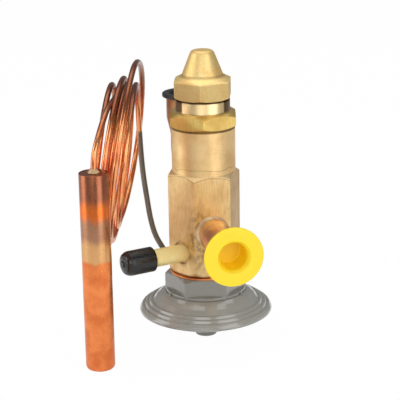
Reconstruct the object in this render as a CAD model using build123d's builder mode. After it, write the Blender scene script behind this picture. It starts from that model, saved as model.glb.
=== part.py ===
"""Thermostatic expansion valve: brass body, diaphragm power element, capillary coil and sensing bulb.

Millimetres. Z runs up the valve's axis, with the power element at the bottom. The origin is the centre
of the element's bottom boss. The inlet points along -Y, and the outlet leaves along +Y and turns up.
"""

from build123d import *
from math import cos, pi, radians, sin, sqrt, tan
import os

os.makedirs("parts", exist_ok=True)

# ---- driving dimensions ----------------------------------------------------------------------------

# clearances, all radial
RUNNING = 0.05  # between pieces that turn or slide in each other
BRAZE_GAP = 0.05  # between a tube and the bore that it is brazed into
THREAD_GAP = 0.08  # between a thread, modelled plain, and its bore
PLUG_GAP = 0.06  # between a shipping plug and its tube
SPRING_GAP = 0.3  # round the spring and over the diaphragm, which change shape

# power element, from the bottom up
BOSS_R = 4.95
BOSS_H = 4.6
BOSS_SPIGOT_R = 3.0
BOSS_BEVEL = 0.5
CHARGE_BORE_R = 1.0
CASE_WALL = 1.0
RIM_R = 30.2
RIM_Z = 12.7  # where the lower half of the case meets the diaphragm
RIM_LIP = 0.6  # thickness of the lower case at its rim
RIM_SLOPE = 0.8
DISH_R = 12.0  # flat middle of the lower case
LIP_WIDTH = 3.8  # width of the joint between the two halves
HUB_R = 18.4
HUB_Z = 21.8
# The upper case steps down from its hub to its rim in three rounded ridges, as (distance out from the
# hub, height). They are drawn for a case RIDGES_WIDTH wide from hub to rim, and spread with it.
RIDGES_WIDTH = 11.8
HUB_RIDGE = ((0, HUB_Z), (2.0, 20.7), (3.8, 19.3), (5.0, 18.0), (5.6, 17.3))
MIDDLE_RIDGE = ((6.8, 17.2), (7.8, 16.7), (8.5, 15.8))
RIM_RIDGE = ((9.4, 15.6), (10.0, 15.2), (10.9, 14.5), (11.5, 13.8))
DIAPHRAGM_T = 0.3
DIAPHRAGM_RIB = 0.6  # height of its raised middle
DIAPHRAGM_SLOPE = 2.0  # width of the slope round that middle
SEAM_DEPTH = 0.3  # from the rim's edge in to the diaphragm's
BUFFER_R = 13.0
BUFFER_T = 2.2
BUFFER_SLOPE = 2.0

# element nut and gasket
ELEMENT_AF = 31.75
ELEMENT_NUT_TOP = 31.0
ELEMENT_LAND_R = 15.6
NUT_BEVEL = 30.0  # degrees from level
COLLAR_R = 18.0
COLLAR_H = 1.4
GASKET_T = 0.7
GASKET_R = 15.9
SPIGOT_R = 11.0

# body
BODY_AF = 28.575
BARREL_STEP = 0.1375  # from the hexagon's flats in to the round barrel
BODY_TOP = 98.0
BARREL_BEVEL = 0.4
HEX_TOP = 78.2
HEX_CHAMFER = 35.0  # degrees from level
FOOT_R = 15.4
MAIN_BORE_R = 9.0
CHAMBER_FLOOR = 62.0
TOP_BORE_R = 11.2
TOP_BORE_DEPTH = 7.5
INLET_CHAMBER_R = 4.6
INLET_CHAMBER_FLOOR = 47.5

# inlet tube
INLET_Z = 53.0
INLET_END = 48.4  # from the valve's axis
INLET_NECK_R = 6.35
INLET_SOCKET_R = 7.2
INLET_WALL = 0.85
INLET_SEAT = 4.2  # depth of the tube's bore in the body
INLET_NECK = 3.6  # length of the neck outside the body
INLET_FLARE = 2.2
INLET_PORT_R = 4.2

# outlet tube
OUTLET_Z = 67.0
OUTLET_LEG = 33.5  # from the valve's axis to the upright leg
OUTLET_BEND = 15.0
OUTLET_NECK_R = 6.95
OUTLET_SOCKET_R = 8.7
OUTLET_WALL = 0.85
OUTLET_SEAT = 3.6
OUTLET_FLARE_Z = 86.5
OUTLET_FLARE = 8.0
OUTLET_SOCKET = 10.0  # straight length of the socket above its flare
OUTLET_TOP = OUTLET_FLARE_Z + OUTLET_FLARE + OUTLET_SOCKET
OUTLET_PORT_R = 4.8

# equalizer tube and its cap
EQ_Z = 42.3
EQ_FLAT = 60.0  # degrees from the inlet to the flat that it leaves
EQ_TURN = 14.0  # degrees that it turns away from square to that flat
EQ_R = 3.97
EQ_WALL = 0.8
EQ_OUT = 28.4  # length outside the flat
EQ_SEAT = 4.0
EQ_PORT_R = 1.6
EQ_PORT_DEPTH = 8.0
EQ_DRILL_R = 1.2
EQ_SPOT_R = 5.2
EQ_SPOT_DEPTH = 0.8
EQ_CAP_R = 5.55
EQ_CAP_FROM = 15.2  # from the flat to the cap's open end
EQ_CAP_LENGTH = 14.5
EQ_CAP_ROUND = 1.8
EQ_NUB_R = 1.6
EQ_NUB_H = 0.6

# valve seat, pin and carrier
ORIFICE_R = 2.2
SEAT_R = 5.5
SEAT_T = 4.0
PIN_R = 3.0
PIN_SHANK_R = 1.9
PIN_TIP_R = 0.6
PIN_HALF_ANGLE = 30.0
PIN_GAP = 0.04
CARRIER_Z = 71.0
CARRIER_T = 5.0
CARRIER_BOSS_H = 1.5
CARRIER_HOLE_R = 1.2
CARRIER_HOLE_PITCH = 4.0
ROD_R = 1.0
ROD_OFFSET = 7.2  # from the axis to each push rod

# superheat spring and its adjuster
WIRE_WIDTH = 1.4
WIRE_HEIGHT = 1.2
SPRING_R = 6.3  # to the middle of the wire
SPRING_COILS = 4
SPRING_LENGTH = 10.0
GUIDE_T = 3.0
STEM_R = 2.6
STEM_DROP = 1.0  # from the thread's top down to the stem's
STEM_TAIL = 4.0  # length of thread below the spring guide
STEM_COLLAR_R = 4.4
STEM_COLLAR_H = 1.6
STEM_SQUARE = 3.5
STEM_SQUARE_H = 5.0

# seal nut with its neck, packing and gland
SEAL_AF = 28.575
SEAL_WASHER_R = 14.05
SEAL_WASHER_H = 0.5
SEAL_H = 7.4  # from the body's top to the hexagon's
SEAL_LAND_R = 13.2
SEAL_SPIGOT_GAP = 0.5
SEAL_SPIGOT_BORE_R = 8.0
SEAL_WEB = 3.0  # between the stem's collar and the gland's bore
NECK_R = 12.0
NECK_H = 4.9
THREAD_R = 8.7
THREAD_H = 5.7
GLAND_BORE_R = 6.0
PACKING_H = 3.2
GLAND_H = 4.0

# seal cap and its gasket
CAP_AF = 23.8
CAP_TURN = 5.6  # degrees from the seal nut's hexagon to the cap's
CAP_GAP = 0.3  # between the cap and the shoulder of the neck
CAP_HEX_H = 10.4
CAP_CONE_R = 8.7
CAP_CONE_H = 11.0
CAP_TOP_R = 4.65
CAP_ROUND = 1.6
CAP_BEVEL = 25.5  # degrees from level
CAP_LAND_R = 11.5
CAP_CAVITY_R = 6.2
CAP_CROWN = 8.5  # solid metal above the cavity
CAP_GASKET_T = 0.9

# shipping plugs
PLUG_FLANGE_R = 12.9
PLUG_FLANGE_T = 1.8
PLUG_BEVEL = 0.5
PLUG_DEPTH = 10.0
PLUG_MOUTH_R = 7.3
PLUG_HOLLOW_R = 5.5
PLUG_MOUTH_Z = 0.5  # where the flared mouth ends, outward from the tube's end
PLUG_TAPER = 0.25
PLUG_FLOOR_T = 1.2
OUTLET_FLANGE_R = 10.6
OUTLET_HOLLOW_R = 6.6
OUTLET_MOUTH_R = 7.4

# capillary and bulb
CAPILLARY_R = 1.3
CAPILLARY_Z = 2.3
CAPILLARY_SEAT = 2.4  # depth of its bore in the boss
BULB_R = 6.35
BULB_WALL = 0.6
BULB_H = 88.0
BULB_ROUND = 1.8
BULB_ACROSS = -46.2  # to the bulb's axis, across the coil's thickness
BULB_AHEAD = 38.4  # to the bulb's axis, along the coil's width
BULB_PLUG_T = 4.0
SOLDER_R = 2.7
SOLDER_H = 2.0
SOLDER_NECK = 0.3  # thickness on the capillary at SOLDER_STEP
SOLDER_STEP = 1.2
COIL_BEARING = 14.0  # degrees from the inlet to the direction in which the coil is seen edge-on
POINTS = 6  # route points to each half turn of the coil
ARC_SHARE = 0.45  # of a straight run, taken up by the arc at each of its ends
COIL_AHEAD = -6.0  # of the coil's middle plane, measured as BULB_AHEAD is

# The capillary's route, as (across, ahead, up): across the coil's thickness, along its width, and up.
# It leaves the boss, passes under the element and climbs behind the body to the coil.
LEAD = (
    (-10.2, -34.6, CAPILLARY_Z), (-11.7, -34.9, 12.0), (-14.0, -31.0, 21.0), (-17.0, -27.2, 28.0),
    (-20.2, -25.2, 33.6), (-22.6, -25.4, 39.5), (-24.8, -27.2, 47.5),
    (-26.9, -30.2, 56.5), (-28.4, -33.4, 66.0), (-29.3, -36.2, 76.0), (-29.9, -38.5, 87.5),
    (-30.2, -36.5, 100.0), (-29.5, -24.0, 111.2),
)
# The coil's turns, as (across, up) at their tops and feet, and as (across, reach) of the half turn that
# comes down in front from each top and of the one that climbs behind from each foot.
COIL_TOPS = ((-29.75, 116.2), (-29.25, 124.2), (-33.6, 116.6), (-35.2, 119.2), (-40.4, 116.6), (-36.9, 112.8))
COIL_FEET = ((-39.2, 51.0), (-41.8, 43.5), (-44.2, 40.0), (-46.6, 37.0), (-49.0, 40.0))
COIL_FRONTS = ((0, 36.0), (-2.3, 36.5), (-2.4, 33.4), (-3.0, 35.8), (-2.0, 33.0))
COIL_BACKS = ((4.5, 38.5), (3.0, 35.0), (2.25, 38.0), (1.5, 33.0), (1.0, 39.5))
# From the last top, over the coil and down to the bulb.
TAIL = (
    (-38.8, 9.0, 111.8), (-40.9, 16.0, 110.4), (-42.2, 25.0, BULB_H + 19.4), (-44.4, 33.6, BULB_H + 13.0),
    (BULB_ACROSS, BULB_AHEAD, BULB_H + 5.5),
)

BRAZE = 1.2  # leg of each brazed fillet
BRAZE_HOLLOW = 0.4  # share of the leg at the middle of its hollow face

# ---- worked out from them --------------------------------------------------------------------------

HALF_FLAT = BODY_AF / 2
BARREL_R = HALF_FLAT - BARREL_STEP
BODY_BOTTOM = ELEMENT_NUT_TOP + GASKET_T
SPIGOT_BOTTOM = HUB_Z - CASE_WALL
SEAT_BOTTOM = CHAMBER_FLOOR - SEAT_T
DIAPHRAGM_TOP = RIM_Z + DIAPHRAGM_T + DIAPHRAGM_RIB
BUFFER_Z = DIAPHRAGM_TOP + SPRING_GAP
SPRING_Z = CARRIER_Z + CARRIER_T + SPRING_GAP
GUIDE_Z = SPRING_Z + SPRING_LENGTH + SPRING_GAP
STEM_Z = GUIDE_Z - STEM_TAIL
TOP_BORE_FLOOR = BODY_TOP - TOP_BORE_DEPTH
SEAL_INNER_FACE = BODY_TOP + SEAL_WASHER_H
SEAL_TOP = BODY_TOP + SEAL_H
GLAND_BORE_FLOOR = SEAL_INNER_FACE + SEAL_WEB
NECK_TOP = SEAL_TOP + NECK_H
THREAD_TOP = NECK_TOP + THREAD_H
STEM_TOP = THREAD_TOP - STEM_DROP
CAP_BOTTOM = NECK_TOP + CAP_GAP
CAP_CONE_Z = CAP_BOTTOM + CAP_HEX_H
CAP_TOP = CAP_CONE_Z + CAP_CONE_H
CAP_CAVITY_TOP = CAP_TOP - CAP_CROWN

# turns of the hexagons about Z, from a flat facing the inlet
ELEMENT_TURN = -COIL_BEARING
SEAL_TURN = 30 - COIL_BEARING


def hex_corner(across_flats):
    return across_flats / sqrt(3)


def lathe(*outline, mode=Mode.ADD):
    """Revolves a closed outline of (radius, height) points about Z, inside a BuildPart."""
    with BuildSketch(Plane.XZ) as profile:
        with BuildLine():
            Polyline(*outline, close=True)
        make_face()
    revolve(profile.sketch, axis=Axis.Z, mode=mode)


def hexagon_bar(across_flats, low, high, turn=0):
    """Extrudes a hexagon between two heights, inside a BuildPart."""
    with BuildSketch(Plane.XY.offset(low)) as profile:
        RegularPolygon(radius=hex_corner(across_flats), side_count=6, rotation=turn)
    extrude(profile.sketch, amount=high - low)


def trim_corners(land, face, across_flats, angle, up):
    """Bevels a hexagon's corners down to a round land on the end face at that height."""
    reach = hex_corner(across_flats) + 1
    rise = (reach - land) * tan(radians(angle)) * (-1 if up else 1)
    lathe((land, face), (reach, face), (reach, face + rise), mode=Mode.SUBTRACT)


def finish(part, name):
    part.label = name
    export_step(part, f"parts/{name}.step")


def from_coil(across, ahead, up):
    """A point given across the coil's thickness, along its width and up."""
    turn = radians(COIL_BEARING)
    return Vector(
        across * cos(turn) - ahead * sin(turn), -across * sin(turn) - ahead * cos(turn), up,
    )


# ---- planes ----------------------------------------------------------------------------------------

INLET_DIR = Vector(0, -1, 0)
INLET_PLANE = Plane(origin=(0, 0, INLET_Z), x_dir=(1, 0, 0), z_dir=INLET_DIR)
OUTLET_PLANE = Plane(origin=(0, 0, OUTLET_Z), x_dir=(1, 0, 0), z_dir=(0, 1, 0))
FLAT_DIR = Vector(-sin(radians(EQ_FLAT)), -cos(radians(EQ_FLAT)), 0)
EQ_DIR = Vector(-sin(radians(EQ_FLAT + EQ_TURN)), -cos(radians(EQ_FLAT + EQ_TURN)), 0)
EQ_ORIGIN = FLAT_DIR * HALF_FLAT + Vector(0, 0, EQ_Z)
EQ_FLAT_PLANE = Plane(origin=EQ_ORIGIN, x_dir=(0, 0, 1), z_dir=FLAT_DIR)
EQ_PLANE = Plane(origin=EQ_ORIGIN, x_dir=(0, 0, 1), z_dir=EQ_DIR)
LEAD_DIR = from_coil(LEAD[0][0], LEAD[0][1], 0).normalized()
LEAD_START = LEAD_DIR * (BOSS_R - CAPILLARY_SEAT) + Vector(0, 0, CAPILLARY_Z)
LEAD_PLANE = Plane(origin=(0, 0, CAPILLARY_Z), x_dir=(0, 0, 1), z_dir=LEAD_DIR)


def bore(plane, radius, start, depth):
    """Cuts a round hole along a plane's normal, from start and going back against it by depth."""
    with BuildSketch(plane.offset(start - depth)) as profile:
        Circle(radius)
    extrude(profile.sketch, amount=depth, mode=Mode.SUBTRACT)


def bore_z(radius, low, high):
    """Cuts a round hole about the valve's axis between two heights."""
    with BuildSketch(Plane.XY.offset(low)) as profile:
        Circle(radius)
    extrude(profile.sketch, amount=high - low, mode=Mode.SUBTRACT)


def lathe_on(plane, *outline):
    """Revolves an outline of (distance from the normal, distance along it) points about a plane's normal."""
    side = Plane(origin=plane.origin, x_dir=plane.x_dir, z_dir=plane.x_dir.cross(plane.z_dir))
    with BuildSketch(side) as profile:
        with BuildLine():
            Polyline(*outline, close=True)
        make_face()
    revolve(profile.sketch, axis=Axis(plane.origin, plane.z_dir))


def braze_ring(plane, tube_r, name):
    """A brazed fillet round a tube, with its flat side on the plane."""
    with BuildPart() as ring:
        lathe_on(
            plane, (tube_r, 0), (tube_r + BRAZE, 0),
            (tube_r + BRAZE * BRAZE_HOLLOW, BRAZE * BRAZE_HOLLOW), (tube_r, BRAZE),
        )
    finish(ring.part, name)


# ---- body ------------------------------------------------------------------------------------------

EQ_DRILL = EQ_ORIGIN - EQ_DIR * EQ_PORT_DEPTH

with BuildPart() as body:
    hexagon_bar(BODY_AF, BODY_BOTTOM, HEX_TOP)
    trim_corners(BARREL_R, HEX_TOP, BODY_AF, HEX_CHAMFER, up=True)
    trim_corners(FOOT_R, BODY_BOTTOM, BODY_AF, HEX_CHAMFER, up=False)
    lathe(
        (0, SPIGOT_BOTTOM), (SPIGOT_R, SPIGOT_BOTTOM), (SPIGOT_R, BODY_BOTTOM), (BARREL_R, BODY_BOTTOM),
        (BARREL_R, BODY_TOP - BARREL_BEVEL), (BARREL_R - BARREL_BEVEL, BODY_TOP), (0, BODY_TOP),
    )
    bore_z(MAIN_BORE_R, CHAMBER_FLOOR, BODY_TOP)
    bore_z(TOP_BORE_R, TOP_BORE_FLOOR, BODY_TOP)
    bore_z(SEAT_R, SEAT_BOTTOM, CHAMBER_FLOOR)
    bore_z(INLET_CHAMBER_R, INLET_CHAMBER_FLOOR, SEAT_BOTTOM)
    with BuildSketch(Plane.XY.offset(SPIGOT_BOTTOM)):
        with GridLocations(2 * ROD_OFFSET, 0, 2, 1):
            Circle(ROD_R + RUNNING)
    extrude(amount=CHAMBER_FLOOR - SPIGOT_BOTTOM, mode=Mode.SUBTRACT)
    bore(INLET_PLANE, INLET_NECK_R + BRAZE_GAP, HALF_FLAT, INLET_SEAT)
    bore(INLET_PLANE, INLET_PORT_R, HALF_FLAT, HALF_FLAT)
    bore(OUTLET_PLANE, OUTLET_NECK_R + BRAZE_GAP, HALF_FLAT, OUTLET_SEAT)
    bore(OUTLET_PLANE, OUTLET_PORT_R, HALF_FLAT, HALF_FLAT - MAIN_BORE_R / 2)
    bore(EQ_FLAT_PLANE, EQ_SPOT_R, 0, EQ_SPOT_DEPTH)
    bore(EQ_PLANE, EQ_R + BRAZE_GAP, EQ_R, EQ_R + EQ_SEAT)
    bore(EQ_PLANE, EQ_PORT_R, 0, EQ_PORT_DEPTH)
    with BuildSketch(Plane.XY.offset(SPIGOT_BOTTOM)):
        with Locations((EQ_DRILL.X, EQ_DRILL.Y)):
            Circle(EQ_DRILL_R)
    extrude(amount=EQ_Z - SPIGOT_BOTTOM, mode=Mode.SUBTRACT)
finish(body.part, "valve_body")

# ---- power element ---------------------------------------------------------------------------------

with BuildPart() as boss:
    lathe((0, 0), (BOSS_R, 0), (BOSS_R, BOSS_H), (BOSS_SPIGOT_R, BOSS_H), (BOSS_SPIGOT_R, BOSS_H + CASE_WALL),
          (0, BOSS_H + CASE_WALL))
    chamfer(boss.edges().filter_by(GeomType.CIRCLE).group_by(Axis.Z)[0], length=BOSS_BEVEL)
    bore_z(CHARGE_BORE_R, CAPILLARY_Z, BOSS_H + CASE_WALL)
    bore(LEAD_PLANE, CAPILLARY_R + BRAZE_GAP, BOSS_R, CAPILLARY_SEAT)
    bore(LEAD_PLANE, CHARGE_BORE_R / 2, BOSS_R, BOSS_R)
finish(boss.part, "element_boss")

with BuildPart() as lower_case:
    lathe(
        (BOSS_SPIGOT_R, BOSS_H), (DISH_R, BOSS_H), (RIM_R - RIM_SLOPE, RIM_Z - RIM_LIP), (RIM_R, RIM_Z),
        (RIM_R - LIP_WIDTH, RIM_Z), (DISH_R, BOSS_H + CASE_WALL), (BOSS_SPIGOT_R, BOSS_H + CASE_WALL),
    )
finish(lower_case.part, "lower_case")


def spread_out(ridge):
    """A ridge's corners as (radius, height)."""
    return [(HUB_R + out * (RIM_R - HUB_R) / RIDGES_WIDTH, height) for out, height in ridge]


inner_slope = [(radius - CASE_WALL, height - CASE_WALL) for radius, height in reversed(spread_out(HUB_RIDGE))]
with BuildPart() as upper_case:
    lathe(
        (SPIGOT_R + THREAD_GAP, HUB_Z), *spread_out(HUB_RIDGE + MIDDLE_RIDGE + RIM_RIDGE),
        (RIM_R, RIM_Z + DIAPHRAGM_T),
        (RIM_R - LIP_WIDTH, RIM_Z + DIAPHRAGM_T), *inner_slope, (SPIGOT_R + THREAD_GAP, HUB_Z - CASE_WALL),
    )
finish(upper_case.part, "upper_case")

with BuildPart() as diaphragm:
    rib = DIAPHRAGM_RIB
    seam = RIM_R - SEAM_DEPTH
    with BuildSketch(Plane.XZ):
        with BuildLine():
            Polyline(
                (0, RIM_Z + rib), (BUFFER_R, RIM_Z + rib), (BUFFER_R + DIAPHRAGM_SLOPE, RIM_Z), (seam, RIM_Z),
                (seam, RIM_Z + DIAPHRAGM_T), (BUFFER_R + DIAPHRAGM_SLOPE, RIM_Z + DIAPHRAGM_T),
                (BUFFER_R, RIM_Z + DIAPHRAGM_T + rib), (0, RIM_Z + DIAPHRAGM_T + rib), close=True,
            )
        make_face()
    revolve(axis=Axis.Z)
finish(diaphragm.part, "diaphragm")

with BuildPart() as buffer_plate:
    lathe(
        (0, BUFFER_Z), (BUFFER_R, BUFFER_Z), (BUFFER_R, BUFFER_Z + BUFFER_T / 2),
        (BUFFER_R - BUFFER_SLOPE, BUFFER_Z + BUFFER_T), (0, BUFFER_Z + BUFFER_T),
    )
finish(buffer_plate.part, "buffer_plate")

with BuildPart() as element_nut:
    hexagon_bar(ELEMENT_AF, HUB_Z, ELEMENT_NUT_TOP, ELEMENT_TURN)
    trim_corners(ELEMENT_LAND_R, ELEMENT_NUT_TOP, ELEMENT_AF, NUT_BEVEL, up=True)
    with BuildSketch(Plane.XY.offset(HUB_Z)):
        Circle(COLLAR_R)
    extrude(amount=COLLAR_H)
    bore_z(SPIGOT_R + THREAD_GAP, HUB_Z, ELEMENT_NUT_TOP)
finish(element_nut.part, "element_nut")

with BuildPart() as gasket:
    with BuildSketch(Plane.XY.offset(ELEMENT_NUT_TOP)):
        Circle(GASKET_R)
        Circle(SPIGOT_R + THREAD_GAP, mode=Mode.SUBTRACT)
    extrude(amount=GASKET_T)
finish(gasket.part, "element_gasket")

# ---- seat, pin and what moves it -------------------------------------------------------------------

with BuildPart() as seat:
    with BuildSketch(Plane.XY.offset(SEAT_BOTTOM)):
        Circle(SEAT_R)
        Circle(ORIFICE_R, mode=Mode.SUBTRACT)
    extrude(amount=SEAT_T)
finish(seat.part, "valve_seat")

cone = tan(radians(PIN_HALF_ANGLE))
rim_gap = PIN_GAP / cos(radians(PIN_HALF_ANGLE))
pin_tip = CHAMBER_FLOOR - (ORIFICE_R - rim_gap - PIN_TIP_R) / cone
pin_neck = CHAMBER_FLOOR + (PIN_R - ORIFICE_R + rim_gap) / cone

with BuildPart() as pin:
    lathe(
        (0, pin_tip), (PIN_TIP_R, pin_tip), (PIN_R, pin_neck), (PIN_R, CARRIER_Z),
        (PIN_SHANK_R, CARRIER_Z), (PIN_SHANK_R, CARRIER_Z + CARRIER_T), (0, CARRIER_Z + CARRIER_T),
    )
finish(pin.part, "valve_pin")

with BuildPart() as carrier:
    top = CARRIER_Z + CARRIER_T
    hub = SPRING_R - WIRE_WIDTH / 2 - SPRING_GAP
    lathe(
        (PIN_SHANK_R, CARRIER_Z), (MAIN_BORE_R - RUNNING, CARRIER_Z), (MAIN_BORE_R - RUNNING, top),
        (hub, top), (hub, top + CARRIER_BOSS_H), (PIN_SHANK_R, top + CARRIER_BOSS_H),
    )
    with BuildSketch(Plane.XY.offset(CARRIER_Z)):
        with PolarLocations(CARRIER_HOLE_PITCH, 4, start_angle=45):
            Circle(CARRIER_HOLE_R)
    extrude(amount=CARRIER_T + CARRIER_BOSS_H, mode=Mode.SUBTRACT)
finish(carrier.part, "pin_carrier")

for number, side in enumerate((-1, 1), start=1):
    with BuildPart() as rod:
        with BuildSketch(Plane.XY.offset(BUFFER_Z + BUFFER_T)):
            with Locations((side * ROD_OFFSET, 0)):
                Circle(ROD_R)
        extrude(amount=CARRIER_Z - BUFFER_Z - BUFFER_T)
    finish(rod.part, f"push_rod_{number}")

with BuildPart() as spring:
    rise = SPRING_LENGTH - WIRE_HEIGHT
    with BuildLine(Plane.XY.offset(SPRING_Z + WIRE_HEIGHT / 2)):
        coil = Helix(pitch=rise / SPRING_COILS, height=rise, radius=SPRING_R)
    with BuildSketch(Plane(origin=coil @ 0, x_dir=(1, 0, 0), z_dir=coil % 0)):
        Rectangle(WIRE_WIDTH, WIRE_HEIGHT)
    sweep(path=coil, is_frenet=True)
finish(spring.part, "superheat_spring")

with BuildPart() as guide:
    with BuildSketch(Plane.XY.offset(GUIDE_Z)):
        Circle(MAIN_BORE_R - RUNNING)
        Circle(STEM_R + RUNNING, mode=Mode.SUBTRACT)
    extrude(amount=GUIDE_T)
finish(guide.part, "spring_guide")

# ---- adjusting stem, seal nut and seal cap ---------------------------------------------------------

collar_top = SEAL_INNER_FACE - RUNNING
with BuildPart() as stem:
    lathe(
        (0, STEM_Z), (STEM_R, STEM_Z), (STEM_R, collar_top - STEM_COLLAR_H),
        (STEM_COLLAR_R, collar_top - STEM_COLLAR_H), (STEM_COLLAR_R, collar_top), (STEM_R, collar_top),
        (STEM_R, STEM_TOP - STEM_SQUARE_H), (0, STEM_TOP - STEM_SQUARE_H),
    )
    with BuildSketch(Plane.XY.offset(STEM_TOP - STEM_SQUARE_H)):
        Rectangle(STEM_SQUARE, STEM_SQUARE)
    extrude(amount=STEM_SQUARE_H)
finish(stem.part, "adjusting_stem")

with BuildPart() as packing:
    with BuildSketch(Plane.XY.offset(GLAND_BORE_FLOOR)):
        Circle(GLAND_BORE_R)
        Circle(STEM_R + RUNNING, mode=Mode.SUBTRACT)
    extrude(amount=PACKING_H)
finish(packing.part, "stem_packing")

with BuildPart() as gland:
    with BuildSketch(Plane.XY.offset(GLAND_BORE_FLOOR + PACKING_H)):
        Circle(GLAND_BORE_R - THREAD_GAP)
        Circle(STEM_R + RUNNING, mode=Mode.SUBTRACT)
    extrude(amount=GLAND_H)
finish(gland.part, "packing_gland")

with BuildPart() as seal_nut:
    hexagon_bar(SEAL_AF, BODY_TOP + SEAL_WASHER_H, SEAL_TOP, SEAL_TURN)
    trim_corners(SEAL_LAND_R, SEAL_TOP, SEAL_AF, NUT_BEVEL, up=True)
    trim_corners(SEAL_WASHER_R, BODY_TOP + SEAL_WASHER_H, SEAL_AF, NUT_BEVEL, up=False)
    lathe(
        (0, TOP_BORE_FLOOR + SEAL_SPIGOT_GAP), (TOP_BORE_R - THREAD_GAP, TOP_BORE_FLOOR + SEAL_SPIGOT_GAP),
        (TOP_BORE_R - THREAD_GAP, BODY_TOP), (SEAL_WASHER_R, BODY_TOP),
        (SEAL_WASHER_R, BODY_TOP + SEAL_WASHER_H), (NECK_R, BODY_TOP + SEAL_WASHER_H),
        (NECK_R, NECK_TOP), (THREAD_R, NECK_TOP), (THREAD_R, THREAD_TOP), (0, THREAD_TOP),
    )
    bore_z(SEAL_SPIGOT_BORE_R, TOP_BORE_FLOOR, SEAL_INNER_FACE)
    bore_z(STEM_R + RUNNING, SEAL_INNER_FACE, THREAD_TOP)
    bore_z(GLAND_BORE_R, GLAND_BORE_FLOOR, THREAD_TOP)
finish(seal_nut.part, "seal_nut")

with BuildPart() as cap_gasket:
    with BuildSketch(Plane.XY.offset(THREAD_TOP)):
        Circle(THREAD_R)
        Circle(CAP_CAVITY_R, mode=Mode.SUBTRACT)
    extrude(amount=CAP_GASKET_T)
finish(cap_gasket.part, "seal_cap_gasket")

with BuildPart() as cap:
    hexagon_bar(CAP_AF, CAP_BOTTOM, CAP_CONE_Z, SEAL_TURN - CAP_TURN)
    trim_corners(CAP_CONE_R, CAP_CONE_Z, CAP_AF, CAP_BEVEL, up=True)
    trim_corners(CAP_LAND_R, CAP_BOTTOM, CAP_AF, NUT_BEVEL, up=False)
    lathe(
        (0, CAP_BOTTOM), (CAP_CONE_R, CAP_BOTTOM), (CAP_CONE_R, CAP_CONE_Z),
        (CAP_TOP_R, CAP_TOP), (0, CAP_TOP),
    )
    fillet(cap.edges().filter_by(GeomType.CIRCLE).group_by(Axis.Z)[-1], radius=CAP_ROUND)
    shoulder = THREAD_TOP + CAP_GASKET_T
    bore_z(THREAD_R + RUNNING, CAP_BOTTOM, shoulder)
    with BuildSketch(Plane.XZ):
        with BuildLine():
            Polyline(
                (0, shoulder), (CAP_CAVITY_R, shoulder), (CAP_CAVITY_R, CAP_CAVITY_TOP - CAP_CAVITY_R / 2),
                (0, CAP_CAVITY_TOP), close=True,
            )
        make_face()
    revolve(axis=Axis.Z, mode=Mode.SUBTRACT)
finish(cap.part, "seal_cap")

# ---- inlet tube and its plug -----------------------------------------------------------------------

with BuildPart() as inlet_tube:
    neck_end = HALF_FLAT + INLET_NECK
    flare_end = neck_end + INLET_FLARE
    lathe_on(
        INLET_PLANE,
        (INLET_NECK_R - INLET_WALL, HALF_FLAT - INLET_SEAT), (INLET_NECK_R, HALF_FLAT - INLET_SEAT),
        (INLET_NECK_R, neck_end), (INLET_SOCKET_R, flare_end), (INLET_SOCKET_R, INLET_END),
        (INLET_SOCKET_R - INLET_WALL, INLET_END), (INLET_SOCKET_R - INLET_WALL, flare_end),
        (INLET_NECK_R - INLET_WALL, neck_end),
    )
finish(inlet_tube.part, "inlet_tube")
braze_ring(INLET_PLANE.offset(HALF_FLAT), INLET_NECK_R, "inlet_braze")


def shipping_plug(plane, socket_r, flange_r, mouth_r, hollow_r, name):
    """A flanged push-in plug, hollow from outside, with its flange on the plane at the tube's end."""
    barrel = socket_r - PLUG_GAP
    with BuildPart() as plug:
        lathe_on(
            plane,
            (0, -PLUG_DEPTH), (barrel - PLUG_TAPER, -PLUG_DEPTH), (barrel, -PLUG_TAPER), (barrel, 0),
            (flange_r, 0), (flange_r, PLUG_FLANGE_T - PLUG_BEVEL), (flange_r - PLUG_BEVEL, PLUG_FLANGE_T),
            (mouth_r, PLUG_FLANGE_T), (hollow_r, PLUG_MOUTH_Z),
            (hollow_r - PLUG_TAPER, PLUG_FLOOR_T - PLUG_DEPTH), (0, PLUG_FLOOR_T - PLUG_DEPTH),
        )
    finish(plug.part, name)


shipping_plug(
    INLET_PLANE.offset(INLET_END), INLET_SOCKET_R - INLET_WALL, PLUG_FLANGE_R, PLUG_MOUTH_R, PLUG_HOLLOW_R,
    "inlet_plug",
)

# ---- outlet tube and its plug ----------------------------------------------------------------------

LEG_PLANE = Plane(origin=(0, OUTLET_LEG, 0), x_dir=(1, 0, 0), z_dir=(0, 0, 1))

with BuildPart() as outlet_tube:
    with BuildLine(Plane.YZ):
        elbow = FilletPolyline(
            (HALF_FLAT - OUTLET_SEAT, OUTLET_Z), (OUTLET_LEG, OUTLET_Z), (OUTLET_LEG, OUTLET_FLARE_Z),
            radius=OUTLET_BEND,
        )
    with BuildSketch(Plane(origin=elbow @ 0, z_dir=elbow % 0)):
        Circle(OUTLET_NECK_R)
        Circle(OUTLET_NECK_R - OUTLET_WALL, mode=Mode.SUBTRACT)
    sweep(path=elbow)
    flare_top = OUTLET_FLARE_Z + OUTLET_FLARE
    lathe_on(
        LEG_PLANE,
        (OUTLET_NECK_R - OUTLET_WALL, OUTLET_FLARE_Z), (OUTLET_NECK_R, OUTLET_FLARE_Z),
        (OUTLET_SOCKET_R, flare_top), (OUTLET_SOCKET_R, OUTLET_TOP),
        (OUTLET_SOCKET_R - OUTLET_WALL, OUTLET_TOP), (OUTLET_SOCKET_R - OUTLET_WALL, flare_top),
    )
finish(outlet_tube.part, "outlet_tube")
braze_ring(OUTLET_PLANE.offset(HALF_FLAT), OUTLET_NECK_R, "outlet_braze")
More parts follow.
